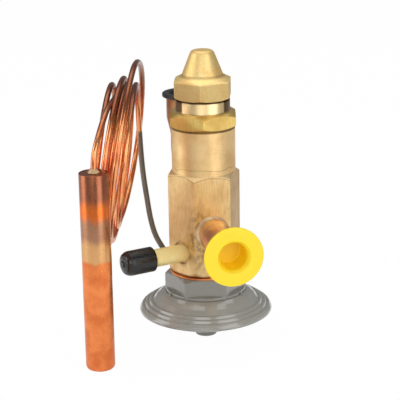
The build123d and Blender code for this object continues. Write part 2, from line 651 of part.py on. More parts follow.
shipping_plug(
    LEG_PLANE.offset(OUTLET_TOP), OUTLET_SOCKET_R - OUTLET_WALL, OUTLET_FLANGE_R, OUTLET_MOUTH_R,
    OUTLET_HOLLOW_R, "outlet_plug",
)

# ---- equalizer tube and its cap --------------------------------------------------------------------

with BuildPart() as equalizer_tube:
    lathe_on(EQ_PLANE, (EQ_R - EQ_WALL, -EQ_SEAT), (EQ_R, -EQ_SEAT), (EQ_R, EQ_OUT), (EQ_R - EQ_WALL, EQ_OUT))
finish(equalizer_tube.part, "equalizer_tube")

with BuildPart() as equalizer_cap:
    cap_end = EQ_CAP_FROM + EQ_CAP_LENGTH
    grip = EQ_R + RUNNING
    lathe_on(
        EQ_PLANE,
        (grip, EQ_CAP_FROM), (EQ_CAP_R, EQ_CAP_FROM), (EQ_CAP_R, cap_end - EQ_CAP_ROUND),
        (EQ_CAP_R - EQ_CAP_ROUND, cap_end), (EQ_NUB_R, cap_end), (EQ_NUB_R, cap_end + EQ_NUB_H),
        (0, cap_end + EQ_NUB_H), (0, EQ_OUT + SPRING_GAP), (grip, EQ_OUT + SPRING_GAP),
    )
finish(equalizer_cap.part, "equalizer_cap")

# ---- bulb ------------------------------------------------------------------------------------------


BULB_PLANE = Plane(origin=from_coil(BULB_ACROSS, BULB_AHEAD, 0), x_dir=(1, 0, 0), z_dir=(0, 0, 1))
bulb_bore = BULB_R - BULB_WALL

with BuildPart() as bulb:
    lathe_on(
        BULB_PLANE,
        (0, 0), (BULB_R - BULB_ROUND, 0), (BULB_R, BULB_ROUND), (BULB_R, BULB_H), (bulb_bore, BULB_H),
        (bulb_bore, BULB_ROUND), (bulb_bore - BULB_ROUND + BULB_WALL, BULB_WALL), (0, BULB_WALL),
    )
finish(bulb.part, "bulb_tube")

with BuildPart() as bulb_plug:
    lathe_on(
        BULB_PLANE,
        (CAPILLARY_R + BRAZE_GAP, BULB_H - BULB_PLUG_T), (bulb_bore, BULB_H - BULB_PLUG_T),
        (bulb_bore, BULB_H), (CAPILLARY_R + BRAZE_GAP, BULB_H),
    )
finish(bulb_plug.part, "bulb_end_plug")

with BuildPart() as solder:
    lathe_on(
        BULB_PLANE,
        (CAPILLARY_R, BULB_H), (SOLDER_R, BULB_H), (CAPILLARY_R + SOLDER_NECK, BULB_H + SOLDER_STEP),
        (CAPILLARY_R, BULB_H + SOLDER_H),
    )
finish(solder.part, "bulb_solder")

# ---- capillary -------------------------------------------------------------------------------------


def half_turn(start, end, across, reach):
    """Points of half an ellipse from start to just before end, bulging out between them."""
    middle, arm = (start + end) / 2, (start - end) / 2
    bulge = Vector(across, reach, 0)
    angles = (pi * step / POINTS for step in range(POINTS))
    return [middle + arm * cos(angle) + bulge * sin(angle) for angle in angles]


def capillary_route():
    """The capillary's points, in the coil's own axes."""
    tops = [Vector(across, COIL_AHEAD, up) for across, up in COIL_TOPS]
    feet = [Vector(across, COIL_AHEAD, up) for across, up in COIL_FEET]
    points = [Vector(*point) for point in LEAD]
    for top, foot, next_top, front, back in zip(tops, feet, tops[1:], COIL_FRONTS, COIL_BACKS):
        points += half_turn(top, foot, front[0], front[1])
        points += half_turn(foot, next_top, back[0], -back[1])
    points.append(tops[-1])
    points += [Vector(*point) for point in TAIL]
    points.append(Vector(BULB_ACROSS, BULB_AHEAD, BULB_H - BULB_PLUG_T + CAPILLARY_R))
    return points


def bend_radii(points):
    """The largest arc that each bend's two runs allow."""
    radii = []
    for before, at, after in zip(points, points[1:], points[2:]):
        first, second = at - before, after - at
        half_angle = radians(first.get_angle(second)) / 2
        radii.append(ARC_SHARE * min(first.length, second.length) / tan(half_angle))
    return radii


route = [LEAD_START] + [from_coil(*point) for point in capillary_route()]
radii = bend_radii(route)

with BuildPart() as capillary:
    with BuildLine():
        path = FilletPolyline(*route, radius=radii)
    with BuildSketch(Plane(origin=path @ 0, z_dir=path % 0)):
        Circle(CAPILLARY_R)
    sweep(path=path)
finish(capillary.part, "capillary_tube")
print("capillary length", round(path.length), "smallest bend", round(min(radii), 1))
solid_share = capillary.part.volume / (pi * CAPILLARY_R**2 * path.length)
print("volume over section times length", round(solid_share, 4))
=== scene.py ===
"""A thermostatic expansion valve dressed over its frame: a brass body with its caps, a grey-painted power
element, copper tubes closed by shipping plugs, a coiled capillary and a sensing bulb.

Pieces are made in millimetres, with Z up the valve's axis, and scaled to metres at the end of each.
"""

from math import cos, pi, radians, sin, sqrt, tan

import bmesh
import bpy
from mathutils import Matrix, Vector


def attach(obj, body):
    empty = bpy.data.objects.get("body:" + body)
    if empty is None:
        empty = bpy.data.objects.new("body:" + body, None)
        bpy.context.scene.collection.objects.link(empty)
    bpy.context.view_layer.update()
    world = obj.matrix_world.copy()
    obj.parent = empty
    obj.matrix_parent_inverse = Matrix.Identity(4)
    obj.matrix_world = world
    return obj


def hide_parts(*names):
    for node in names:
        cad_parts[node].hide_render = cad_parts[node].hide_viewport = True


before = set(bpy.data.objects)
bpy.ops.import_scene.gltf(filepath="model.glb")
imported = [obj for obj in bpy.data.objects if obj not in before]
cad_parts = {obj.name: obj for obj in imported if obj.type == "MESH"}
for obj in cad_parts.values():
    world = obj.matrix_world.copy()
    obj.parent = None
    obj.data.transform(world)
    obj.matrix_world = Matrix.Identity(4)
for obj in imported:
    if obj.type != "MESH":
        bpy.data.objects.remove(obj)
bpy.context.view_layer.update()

# ---- sizes, in millimetres ---------------------------------------------------------------------------

BODY_AF = 28.575
BODY_FLAT = BODY_AF / 2
BODY_BOTTOM = 31.7
BODY_TOP = 98.0
BARREL_R = 14.15
HEX_TOP = 78.2
CHAMFER = 35.0  # degrees from level, as every bevel of a hexagon's corners
FOOT_LAND = 14.3
FOOT_BEVEL = 42.0
SPIGOT_R = 11.0
SPIGOT_BOTTOM = 20.8
SPIGOT_FIT_R = 11.08  # inside of what sits round the spigot
PUSH_ROD_OUT = 7.2
PUSH_ROD_HOLE_R = 1.05
NUT_FOOT = 98.5
NUT_TOP = 105.4
NUT_FOOT_R = 14.05
NUT_LAND = 13.2
NUT_BEVEL = 30.0
NUT_TURN = 16.0  # degrees from a flat that faces the inlet, as every turn of a hexagon
NECK_R = 12.0
NECK_TOP = 110.3
THREAD_R = 8.7
THREAD_ROOT_R = 8.25
CAP_AF = 23.8
CAP_TURN = 10.4
CAP_BOTTOM = 110.6
CAP_HEX_TOP = 121.0
CAP_CONE_FOOT_R = 9.2
CAP_CONE_TOP_R = 4.85
CAP_TOP = 132.0
CAP_BORE_R = 8.75
CAP_FOOT_R = 11.5
CAP_BEVEL = 25.5
CASE_EDGE_R = 30.2
CASE_RIM_R = 26.4  # where the two cases meet inside
CASE_SHEET = 1.0
ELEMENT_TOP = 21.8
ELEMENT_NUT_AF = 31.75
ELEMENT_NUT_TOP = 31.0
ELEMENT_NUT_TURN = -14.0
ELEMENT_NUT_LAND = 15.6
NUB_OUT = 18.5
INLET_Z = 53.0
INLET_END = 48.4
INLET_NECK_R = 6.35
INLET_SOCKET_R = 7.2
INLET_DEPTH = 4.2  # how far the tube goes into the body
INLET_PORT_R = 4.2
OUTLET_Z = 67.0
OUTLET_LEG = 33.5
OUTLET_BEND = 15.0
OUTLET_NECK_R = 6.95
OUTLET_SOCKET_R = 8.7
OUTLET_TOP = 104.5
OUTLET_DEPTH = 3.6
OUTLET_PORT_R = 4.8
TUBE_WALL = 0.85
TUBE_FIT = 0.05
EQ_Z = 42.3
EQ_R = 3.97
EQ_BORE_R = 3.17
EQ_DEPTH = 4.0
EQ_PORT_R = 1.6
EQ_SPOT_R = 5.2  # the flat milled for the leaning tube
EQ_SPOT_DEPTH = 0.8
EQ_END = 28.4
EQ_CAP_R = 5.55
EQ_CAP_BORE_R = 4.02
EQ_CAP_FROM = 15.2
EQ_CAP_END = 29.7
EQ_CAP_FLOOR = 28.7
CAPILLARY_R = 1.3
CAPILLARY_Z = 2.3
BULB_R = 6.35
BULB_BORE_R = 5.75
BULB_H = 88.0
BULB_ACROSS = -46.2
BULB_AHEAD = 38.4
VIEW_BEARING = 14.0  # degrees from the inlet to the side that faces the camera
COIL_AHEAD = -6.0
COIL_POINTS = 6  # route points to each half turn

CREASE = 32.0  # degrees between faces that stay sharp
ROUND_STEPS = 120  # sides of the large turned pieces
ELEMENT_STEPS = 160  # sides of the two cases

LEAD = (
    (-10.2, -34.6, CAPILLARY_Z), (-11.7, -34.9, 12.0), (-14.0, -31.0, 21.0), (-17.0, -27.2, 28.0),
    (-20.2, -25.2, 33.6), (-23.4, -25.4, 39.5), (-25.5, -27.2, 47.5),
    (-26.9, -30.2, 56.5), (-28.4, -33.4, 66.0), (-29.3, -36.2, 76.0), (-29.9, -38.5, 87.5),
    (-30.2, -36.5, 100.0), (-29.5, -24.0, 111.2),
)
COIL_TOPS = (
    (-29.75, 116.2), (-29.25, 126.4), (-33.6, 116.6), (-35.2, 119.2), (-40.4, 116.6), (-36.9, 112.8),
)
COIL_FEET = ((-39.2, 51.0), (-41.8, 43.5), (-44.2, 40.0), (-46.6, 37.0), (-49.0, 40.0))
COIL_FRONTS = ((0, 36.0), (-2.3, 36.5), (-2.4, 33.4), (-3.0, 35.8), (-2.0, 33.0))
COIL_BACKS = ((4.5, 38.5), (3.0, 35.0), (2.25, 38.0), (1.5, 33.0), (1.0, 39.5))
TAIL = (
    (-38.8, 9.0, 111.8), (-40.9, 16.0, 110.4), (-42.2, 25.0, BULB_H + 19.4), (-44.4, 33.6, BULB_H + 13.0),
    (BULB_ACROSS, BULB_AHEAD, BULB_H + 5.5),
)


def from_coil(across, ahead, up):
    """A point given across the coil's thickness, along its width and up."""
    turn = radians(VIEW_BEARING)
    return Vector((across * cos(turn) - ahead * sin(turn), -across * sin(turn) - ahead * cos(turn), up))


# ---- camera, floor and light -------------------------------------------------------------------------

TO_METRES = 0.001
FLOOR_GLOW = 0.98  # share of plain white in the floor that the camera sees
FLOOR_MIRRORED = 0.37
WORLD_FILL = 0.34
WORLD_MIRRORED = 0.22


def place_camera():
    azimuth, elevation, roll = radians(VIEW_BEARING), radians(16.721), radians(0.9)
    back = Vector((-sin(azimuth) * cos(elevation), -cos(azimuth) * cos(elevation), sin(elevation)))
    right = Vector((cos(azimuth), -sin(azimuth), 0))
    up = back.cross(right)
    target = Vector((-1.8435, 0.4596, 63.798)) * TO_METRES
    stand = target + back * 0.628042
    across = right * cos(roll) - up * sin(roll)
    upward = up * cos(roll) + right * sin(roll)
    lens = bpy.data.cameras.new("camera")
    lens.lens = 126.0
    lens.sensor_width = 36.0
    lens.clip_start = 0.05
    lens.clip_end = 20.0
    camera = bpy.data.objects.new("camera", lens)
    turn = Matrix((across, upward, back)).transposed().to_4x4()
    camera.matrix_world = Matrix.Translation(stand) @ turn
    bpy.context.scene.collection.objects.link(camera)
    bpy.context.scene.camera = camera


def soft_box(name, azimuth, elevation, distance, width, height, power):
    """A rectangular lamp, aimed at the middle of the object from that bearing."""
    lamp = bpy.data.lights.new(name, "AREA")
    lamp.shape = "RECTANGLE"
    lamp.size = width
    lamp.size_y = height
    lamp.energy = power
    made = bpy.data.objects.new(name, lamp)
    a, e = radians(azimuth), radians(elevation)
    away = Vector((-sin(a) * cos(e), -cos(a) * cos(e), sin(e)))
    made.location = Vector((0, 0, 0.06)) + away * distance
    made.rotation_euler = away.to_track_quat("Z", "Y").to_euler()
    bpy.context.scene.collection.objects.link(made)


class Shade:
    """A socket in a material's nodes. Sums written on it become Math nodes."""

    def __init__(self, tree, socket):
        self.tree = tree
        self.socket = socket

    def node(self, kind, settings=None, inputs=None, output=0):
        """Adds a node: its settings first, then numbers or sockets on its inputs."""
        made = self.tree.nodes.new(kind)
        for name, value in (settings or {}).items():
            setattr(made, name, value)
        for name, value in (inputs or {}).items():
            if isinstance(value, Shade):
                self.tree.links.new(value.socket, made.inputs[name])
            else:
                made.inputs[name].default_value = value
        return Shade(self.tree, made.outputs[output])

    def __add__(self, other):
        return self.node("ShaderNodeMath", {"operation": "ADD"}, {0: self, 1: other})

    def __sub__(self, other):
        return self.node("ShaderNodeMath", {"operation": "SUBTRACT"}, {0: self, 1: other})

    def __rsub__(self, other):
        return self.node("ShaderNodeMath", {"operation": "SUBTRACT"}, {0: other, 1: self})

    def __mul__(self, other):
        return self.node("ShaderNodeMath", {"operation": "MULTIPLY"}, {0: self, 1: other})

    def __pow__(self, other):
        return self.node("ShaderNodeMath", {"operation": "POWER"}, {0: self, 1: other})

    __radd__ = __add__
    __rmul__ = __mul__


def linear(level):
    """A display level, 0 to 255, as the linear level that Blender works in."""
    share = level / 255
    if level <= 10:
        return share / 12.92
    return ((share + 0.055) / 1.055) ** 2.4


def colour(red, green, blue):
    """A display colour, 0 to 255, as a linear colour with its alpha."""
    return (linear(red), linear(green), linear(blue), 1.0)


def ramp(shade, low, high):
    """0 below low, 1 above high and a smooth rise between; falls instead where low is over high."""
    return shade.node(
        "ShaderNodeMapRange", {"interpolation_type": "SMOOTHSTEP"},
        {"Value": shade, "From Min": low, "From Max": high},
    )


def rise(distance, low, high):
    """The same ramp along a distance in metres, between two given in millimetres."""
    return ramp(distance, low * TO_METRES, high * TO_METRES)


def band(height, middle, half, soft=0.2):
    """1 within half a width of a height, all three in millimetres, with soft edges."""
    above = rise(height, middle - half - soft, middle - half)
    below = rise(height, middle + half + soft, middle + half)
    return above * below


def off_axis(x, y):
    """The distance from an axis, given the two distances across it."""
    return (x * x + y * y) ** 0.5


def across_view(x, y):
    """The distance to the right of the valve's axis for someone who faces it along the view's bearing."""
    turn = radians(VIEW_BEARING)
    return x * cos(turn) - y * sin(turn)


def grain(place, scale, detail=3.0, stretch=(1, 1, 1), offset=(0, 0, 0)):
    """Noise between 0 and 1, with its features drawn out where stretch is small."""
    mapped = place.node("ShaderNodeMapping", {}, {"Vector": place, "Location": offset, "Scale": stretch})
    return place.node("ShaderNodeTexNoise", {}, {"Vector": mapped, "Scale": scale, "Detail": detail})


def blend(share, first, second):
    """Goes from the first colour to the second as share goes from 0 to 1."""
    return share.node("ShaderNodeMix", {"data_type": "RGBA"}, {0: share, 6: first, 7: second}, 2)


def spot(place, centre, low, high, squash=(1, 1, 1)):
    """1 within low of a point and falling to 0 at high, all in millimetres."""
    middle = tuple(-c * TO_METRES * s for c, s in zip(centre, squash))
    mapped = place.node("ShaderNodeMapping", {}, {"Vector": place, "Location": middle, "Scale": squash})
    far = place.node("ShaderNodeVectorMath", {"operation": "LENGTH"}, {0: mapped}, "Value")
    return rise(far, high, low)


def finish(name, metallic=0.0, roughness=0.5, coat=0.0, coat_roughness=0.1):
    """A new material, its surface shader, and the Object coordinates that its pattern reads."""
    made = bpy.data.materials.new(name)
    made.use_nodes = True
    shader = made.node_tree.nodes["Principled BSDF"]
    shader.inputs["Metallic"].default_value = metallic
    shader.inputs["Roughness"].default_value = roughness
    shader.inputs["Coat Weight"].default_value = coat
    shader.inputs["Coat Roughness"].default_value = coat_roughness
    coordinates = made.node_tree.nodes.new("ShaderNodeTexCoord")
    return made, shader, Shade(made.node_tree, coordinates.outputs["Object"])


def feed(shader, base, roughness=None, height=None, depth=0.0001):
    """Links a finish's colour, and its roughness and bumps where it has them."""
    links = base.tree.links
    links.new(base.socket, shader.inputs["Base Color"])
    if roughness is not None:
        links.new(roughness.socket, shader.inputs["Roughness"])
    if height is not None:
        bumps = height.node("ShaderNodeBump", {}, {"Distance": depth, "Height": height})
        links.new(bumps.socket, shader.inputs["Normal"])


def axes(place):
    """The x, y and z of the place, in metres."""
    return [place.node("ShaderNodeSeparateXYZ", {}, {0: place}, letter) for letter in "XYZ"]


def lay_floor():
    """A floor that keeps a faint shadow, close to white as the camera sees it and dimmer in mirrors."""
    bm = bmesh.new()
    bmesh.ops.create_grid(bm, x_segments=1, y_segments=1, size=2.5)
    bmesh.ops.translate(bm, verts=bm.verts, vec=(0, 0, -0.0002))
    mesh = bpy.data.meshes.new("floor")
    bm.to_mesh(mesh)
    bm.free()
    floor = bpy.data.objects.new("floor", mesh)
    bpy.context.scene.collection.objects.link(floor)
    made = bpy.data.materials.new("floor_white")
    made.use_nodes = True
    tree = made.node_tree
    shader = tree.nodes["Principled BSDF"]
    shader.inputs["Base Color"].default_value = (0.9, 0.9, 0.9, 1)
    shader.inputs["Roughness"].default_value = 1.0
    shader.inputs["Specular IOR Level"].default_value = 0.0
    rays = Shade(tree, tree.nodes.new("ShaderNodeLightPath").outputs["Is Camera Ray"])
    mirrored = Shade(tree, rays.socket.node.outputs["Is Glossy Ray"])
    through = Shade(tree, rays.socket.node.outputs["Is Transmission Ray"])
    seen = rays * FLOOR_GLOW + (mirrored + through) * FLOOR_MIRRORED
    glow = rays.node("ShaderNodeEmission", {}, {"Color": (1, 1, 1, 1), "Strength": 1.0})
    base = Shade(tree, shader.outputs[0])
    mixed = rays.node("ShaderNodeMixShader", {}, {0: seen, 1: base, 2: glow})
    tree.links.new(mixed.socket, tree.nodes["Material Output"].inputs["Surface"])
    mesh.materials.append(made)


def light_world():
    """A surround that the camera sees as white, dimmer in mirrors and on what it lights."""
    world = bpy.data.worlds.new("studio")
    bpy.context.scene.world = world
    world.use_nodes = True
    tree = world.node_tree
    plain = tree.nodes["Background"]
    plain.inputs["Color"].default_value = (1, 1, 1, 1)
    path = tree.nodes.new("ShaderNodeLightPath")
    seen = Shade(tree, path.outputs["Is Camera Ray"])
    mirrored = Shade(tree, path.outputs["Is Glossy Ray"])
    through = Shade(tree, path.outputs["Is Transmission Ray"])
    strength = seen * (1.0 - WORLD_FILL) + (mirrored + through) * (WORLD_MIRRORED - WORLD_FILL) + WORLD_FILL
    tree.links.new(strength.socket, plain.inputs["Strength"])


place_camera()
lay_floor()
light_world()
soft_box("left_box", 96, 18, 1.1, 0.7, 1.1, 5.4)
soft_box("right_box", -28, 18, 1.1, 0.7, 1.1, 4.8)
soft_box("front_box", 22, 26, 1.2, 0.6, 0.6, 2.8)
soft_box("top_box", 194, 78, 1.1, 1.1, 1.1, 5.4)
bpy.context.scene.view_settings.view_transform = "Standard"


# ---- finishes ----------------------------------------------------------------------------------------


def brass(
    name, light, dark, deep, roughness=0.38, metallic=0.9, brushed=(1, 1, 0.06), stains_and_shade=None, wear=0.1,
    painted_highlight=None, drawn_to=1000.0,
):
    """Dull machined brass: drawn marks up to a height, mottling, lighter places of painted highlight, and
    darker stains and painted shade.
    """
    made, shader, place = finish(name, metallic, roughness)
    mottle = ramp(grain(place, 140, 4), 0.35, 0.7)
    fine = grain(place, 2600, 2, brushed)
    speck = ramp(grain(place, 1100, 3), 0.56, 0.72)
    scratch = ramp(grain(place, 2300, 2, brushed), 0.5, 0.66)
    z = axes(place)[2]
    scratch = scratch * rise(z, drawn_to + 1.0, drawn_to)
    base = blend(mottle, light, dark)
    base = blend((scratch + speck * 0.6) * wear, base, deep)
    # Painted highlight: lighter where its mask says.
    if painted_highlight:
        base = blend(painted_highlight(place), base, colour(255, 226, 172))
    # Darker stains, and painted shade, where their mask says.
    if stains_and_shade:
        base = blend(stains_and_shade(place), base, deep)
    feed(shader, base, fine * 0.14 + (roughness - 0.08) + mottle * 0.08, fine + mottle * 0.5, 0.00002)
    return made


def below_chamfer(x, y, z):
    """How far a point is under the chamfer at the hexagon's top, in metres."""
    return (off_axis(x, y) - BARREL_R * TO_METRES) * -tan(radians(CHAMFER)) - z + HEX_TOP * TO_METRES


def body_stains_and_shade(place):
    """Scorch marks from brazing the side tubes, a tool mark round the barrel, painted shade on the right-hand
    flats and in lines at the body's top and bottom where the nuts meet it, and dark lines along the bevels'
    edges.
    """
    x, y, z = axes(place)
    near_inlet = spot(place, (-5.5, -14.3, 50.0), 2.5, 8.5, (1, 1, 0.42))
    near_equalizer = spot(place, (-12.4, -7.1, EQ_Z - 0.5), 4.6, 6.8)
    cloud = ramp(grain(place, 420, 4, offset=(0.3, 0, 0)), 0.4, 0.6)
    scorch = (near_inlet * 0.62 + near_equalizer * 0.5) * (cloud * 0.75 + 0.25)
    # Painted shade: the right-hand flats, below the chamfer, made darker.
    right_flats_shade = rise(x, 7.9, 8.9) * rise(z, HEX_TOP + 0.3, HEX_TOP - 1.7) * 0.4
    # Painted shade: dark lines at the body's top and bottom, where the seal nut and the element nut meet it.
    end_lines_shade = band(z, BODY_TOP - 0.1, 0.3) * 0.7 + band(z, BODY_BOTTOM + 0.2, 0.3) * 0.6
    over_land = off_axis(x, y) - FOOT_LAND * TO_METRES
    above_foot = z - BODY_BOTTOM * TO_METRES - over_land * tan(radians(FOOT_BEVEL))
    foot_line = band(above_foot, 0.4, 0.1, 0.2) * 0.45
    wander = z + grain(place, 95, 2) * 0.006
    tool_mark = band(wander, 84.2, 0.08, 0.1) * 0.5
    # A dark line on the flats just under the chamfer's edge.
    chamfer_edge_line = band(below_chamfer(x, y, z), 0.5, 0.1, 0.2) * 0.4
    return scorch + right_flats_shade + end_lines_shade + foot_line + tool_mark + chamfer_edge_line


def chamfer_highlight(place):
    """Painted highlight: the chamfer at the hexagon's top, made lighter where it faces up to the lamps."""
    x, y, z = axes(place)
    return band(below_chamfer(x, y, z), 0.0, 0.2, 0.1) * rise(z, HEX_TOP - 0.1, HEX_TOP - 0.2) * 0.7


def neck_highlight(place):
    """Painted highlight: the neck above the nut, made lighter all round in a band."""
    return band(axes(place)[2], 107.9, 2.4) * 0.9


def nut_painted_shade(place):
    """Painted shade on the seal nut's brass: dark sides on the neck, placed across the view's bearing, and
    dark lines at the neck's foot, under the nut and under the cap.
    """
    x, y, z = axes(place)
    across = across_view(x, y)
    # Painted shade: the neck's two sides, across the view's bearing, made dark.
    sides = rise((across * across) ** 0.5, 8.8, 9.4) * band(z, 108.3, 2.5)
    # Painted shade: dark lines in the crease at the neck's foot, under the nut and under the cap.
    foot = band(z, NUT_TOP, 0.2) * rise(off_axis(x, y), NECK_R + 0.3, NECK_R + 0.1)
    shade_under_nut = band(z, BODY_TOP + 0.1, 0.3)
    shade_under_cap = band(z, NECK_TOP + 0.1, 0.3)
    return sides * 0.9 + foot * 0.4 + shade_under_nut * 0.8 + shade_under_cap * 0.5


def cap_painted_shade(place):
    """Painted shade: the hexagon darker than the chamfer and cone above it, with faint dark lines at its foot
    and in the crease where the cone meets it.
    """
    z = axes(place)[2]
    # Painted shade: the hexagon's upright faces made darker than the cone, which faces the light.
    hexagon = rise(z, CAP_HEX_TOP - 1.8, CAP_HEX_TOP - 2.8) * 0.42
    # Painted shade: faint dark lines at the hexagon's foot and in the crease under the cone.
    return hexagon + band(z, CAP_BOTTOM + 0.1, 0.3) * 0.4 + band(z, CAP_HEX_TOP + 0.1, 0.3, 0.5) * 0.3


def copper(name, light, dark, deep, roughness=0.34, bands=None):
    """Bare copper with heat tints and drawing marks."""
    made, shader, place = finish(name, 0.92, roughness)
    cloud = ramp(grain(place, 170, 4), 0.32, 0.68)
    fine = grain(place, 2400, 2, (1, 1, 0.05))
    base = blend(cloud, light, dark)
    if bands:
        base = bands(place, base)
    else:
        base = blend(ramp(grain(place, 60, 3, offset=(0, 0.7, 0)), 0.5, 0.75), base, deep)
    feed(shader, base, fine * 0.12 + (roughness - 0.05) + cloud * 0.06, fine, 0.00002)
    return made


def bulb_bands(place, base):
    """Heat tints up the bulb: clean copper below, then gold, tan, bright orange and a dull brown head."""
    wave = grain(place, 150, 3, (1, 1, 0.3)) * 0.006 + axes(place)[2]
    tinted = base
    for low, high, tint in (
        (51.2, 53.0, colour(226, 172, 116)), (59.2, 64.0, colour(180, 130, 100)),
        (69.0, 73.6, colour(236, 122, 56)), (75.5, 80.8, colour(164, 100, 72)),
    ):
        tinted = blend(rise(wave, low, high), tinted, tint)
    return tinted


def enamel():
    """Semi-gloss grey enamel with a little orange peel, and painted shade that makes the element nut darker.
    """
    made, shader, place = finish("grey_enamel", 0.0, 0.2, 0.8, 0.05)
    cloud = grain(place, 90, 3)
    peel = grain(place, 900, 2)
    enamel_and_shade = blend(cloud, colour(146, 145, 138), colour(157, 156, 148))
    # Painted shade: everything above the case's hub, the element nut, made darker.
    nut_shade = rise(axes(place)[2], ELEMENT_TOP - 0.4, ELEMENT_TOP + 0.2)
    enamel_and_shade = blend(nut_shade * 0.5, enamel_and_shade, colour(114, 114, 108))
    feed(shader, enamel_and_shade, peel * 0.06 + 0.16, peel, 0.00002)
    return made


def plastic(name, light, dark, roughness, depth=0.00003, gloss=1.5):
    """Moulded plastic: nearly even, with a faint skin. Gloss is its refractive index."""
    made, shader, place = finish(name, 0.0, roughness)
    shader.inputs["IOR"].default_value = gloss
    cloud = grain(place, 120, 3)
    skin = grain(place, 1500, 2)
    feed(shader, blend(cloud, light, dark), skin * 0.1 + (roughness - 0.05), skin, depth)
    return made


def plug_plastic():
    """Yellow plastic, with light bounced between the walls of the inlet plug's hollow painted in, deeper and
    more orange there.
    """
    made, shader, place = finish("yellow_plastic", 0.0, 0.4)
    shader.inputs["Subsurface Weight"].default_value = 0.15
    shader.inputs["Subsurface Radius"].default_value = (0.004, 0.003, 0.0005)
    x, y, z = axes(place)
    off = off_axis(x, z - INLET_Z * TO_METRES)
    # Painted bounced light: the inlet plug's hollow made deeper and more orange.
    hollow = rise(off, 8.0, 7.6) * rise(y, -INLET_END - 1.7, -INLET_END - 0.9)
    cloud = grain(place, 120, 3)
    face = blend(cloud, colour(255, 229, 48), colour(254, 221, 36))
    skin = grain(place, 1500, 2)
    feed(shader, blend(hollow, face, colour(255, 216, 24)), skin * 0.1 + 0.35, skin, 0.00002)
    return made


def plain_metal(name, light, dark, roughness, metallic=1.0):
    """Turned metal of the inner pieces, with its fine rings."""
    made, shader, place = finish(name, metallic, roughness)
    cloud = ramp(grain(place, 200, 3), 0.3, 0.7)
    rings = grain(place, 1800, 2, (0.1, 0.1, 1))
    feed(shader, blend(cloud, light, dark), rings * 0.15 + (roughness - 0.07), rings, 0.00002)
    return made


def capillary_finish():
    """Copper, brown at the coil's tops and brighter below, with grey enamel on the lead up from the boss."""
    made, shader, place = finish("capillary_copper", 0.9, 0.28)
    x, y, z = axes(place)
    turn = radians(VIEW_BEARING)
    ahead = x * -sin(turn) - y * cos(turn)
    cloud = ramp(grain(place, 75, 3), 0.35, 0.65)
    base = blend(cloud, colour(255, 178, 118), colour(220, 116, 72))
    brown = rise(z + grain(place, 70, 3) * 0.02, 104.0, 124.0)
    base = blend(brown * 0.85, base, colour(128, 80, 60))
    lead = rise(across_view(x, y), -30.6, -30.3) * rise(z, 87.5, 86.0) * rise(ahead, -41.6, -40.6)
    base = blend(lead, base, colour(120, 111, 99))
    tree = place.tree
    tree.links.new((0.9 - lead * 0.9).socket, shader.inputs["Metallic"])
    feed(shader, base, cloud * 0.08 + 0.2)
    return made


# ---- shaping -----------------------------------------------------------------------------------------


def corner_radius(across_flats):
    return across_flats / sqrt(3)


def bevelled(across_flats, land, face, angle, up):
    """Where a corner bevel of that angle from level meets the corners, as (radius, height)."""
    reach = corner_radius(across_flats)
    drop = (reach - land) * tan(radians(angle))
    return (reach, face - drop if up else face + drop)


def turned(outline, closed=False, ease=0.15, steps=96, rounds=None):
    """Spins an outline of (radius, height) corners about Z, with each corner eased to a small arc."""
    bm = bmesh.new()
    corners = [bm.verts.new((r, 0, z)) for r, z in outline]
    pairs = list(zip(corners, corners[1:])) + ([(corners[-1], corners[0])] if closed else [])
    for pair in pairs:
        bm.edges.new(pair)
    for number, corner in enumerate(corners):
        radius = (rounds or {}).get(number, ease)
        if len(corner.link_edges) < 2 or radius <= 0:
            continue
        one, other = (edge.other_vert(corner).co - corner.co for edge in corner.link_edges)
        bend = pi - one.angle(other)
        if bend < 0.05:
            continue
        offset = min(radius * tan(bend / 2), 0.42 * min(one.length, other.length))
        bmesh.ops.bevel(
            bm, geom=[corner], offset=offset, offset_type="OFFSET", affect="VERTICES",
            segments=2 if radius <= 0.3 else 5, profile=0.5, material=-1, clamp_overlap=False,
        )
    bmesh.ops.spin(
        bm, geom=bm.verts[:] + bm.edges[:], axis=(0, 0, 1), cent=(0, 0, 0), angle=2 * pi, steps=steps,
        use_merge=True, use_duplicate=False,
    )
    bmesh.ops.remove_doubles(bm, verts=bm.verts, dist=0.0005)
    bmesh.ops.recalc_face_normals(bm, faces=bm.faces)
    return bm


def mill_flats(bm, across_flats, turn):
    """Cuts six flats in a turned blank. The turn is in degrees, from a flat that faces the inlet."""
    for number in range(6):
        angle = radians(30 + 60 * number + turn)
        face = Vector((cos(angle), sin(angle), 0))
        cut = bmesh.ops.bisect_plane(
            bm, geom=bm.verts[:] + bm.edges[:] + bm.faces[:], plane_co=face * across_flats / 2, plane_no=face,
            clear_outer=True, dist=0.0001,
        )
        rim = [item for item in cut["geom_cut"] if isinstance(item, bmesh.types.BMEdge)]
        bmesh.ops.edgeloop_fill(bm, edges=rim)
    bmesh.ops.recalc_face_normals(bm, faces=bm.faces)


def wear_corners(bm, width):
    """Rounds the upright edges between a hexagon's flats."""
    upright = [
        e for e in bm.edges
        if len(e.link_faces) == 2 and e.calc_face_angle() > radians(50)
        and abs((e.verts[0].co - e.verts[1].co).normalized().z) > 0.99
    ]
    bmesh.ops.bevel(
        bm, geom=upright, offset=width, offset_type="OFFSET", affect="EDGES", segments=3, profile=0.5,
        material=-1, clamp_overlap=True,
    )


def along(direction, origin):
    """The matrix that takes Z from the origin to that direction, from that point."""
    return Matrix.Translation(Vector(origin)) @ Vector(direction).to_track_quat("Z", "Y").to_matrix().to_4x4()


def to_object(name, bm):
    mesh = bpy.data.meshes.new(name)
    bmesh.ops.scale(bm, vec=(TO_METRES,) * 3, verts=bm.verts)
    bm.to_mesh(mesh)
    bm.free()
    made = bpy.data.objects.new(name, mesh)
    bpy.context.scene.collection.objects.link(made)
    return made


